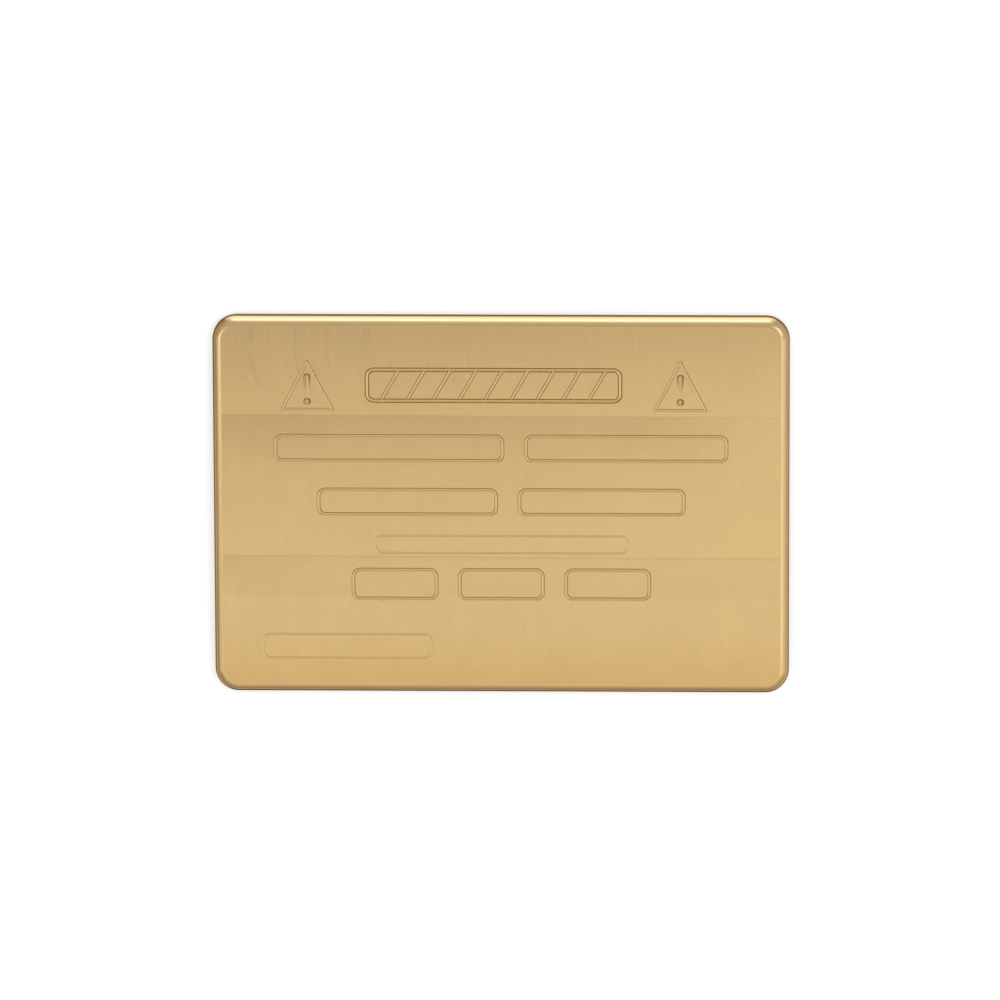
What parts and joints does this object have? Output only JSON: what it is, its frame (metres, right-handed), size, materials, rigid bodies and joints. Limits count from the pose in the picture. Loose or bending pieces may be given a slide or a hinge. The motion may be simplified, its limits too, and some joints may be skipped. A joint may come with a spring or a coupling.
{
  "type": "caution sign",
  "caption": "Flat rectangular brass caution sign plate with a rounded front edge, two engraved warning triangles, a striped heading panel and blank framed fields.",
  "frame": {"origin": "middle of the flat back face, which the plate lies on", "axes": "+X to the right of the sign as it is read, +Y to its top edge, +Z out of the engraved face"},
  "size_m": [0.1524, 0.1016, 0.0048],
  "materials": {
    "brass": "face-milled satin face, polished rounded edge"
  },
  "bodies": {
    "root": {"plate": "brass"}
  },
  "joints": []
}
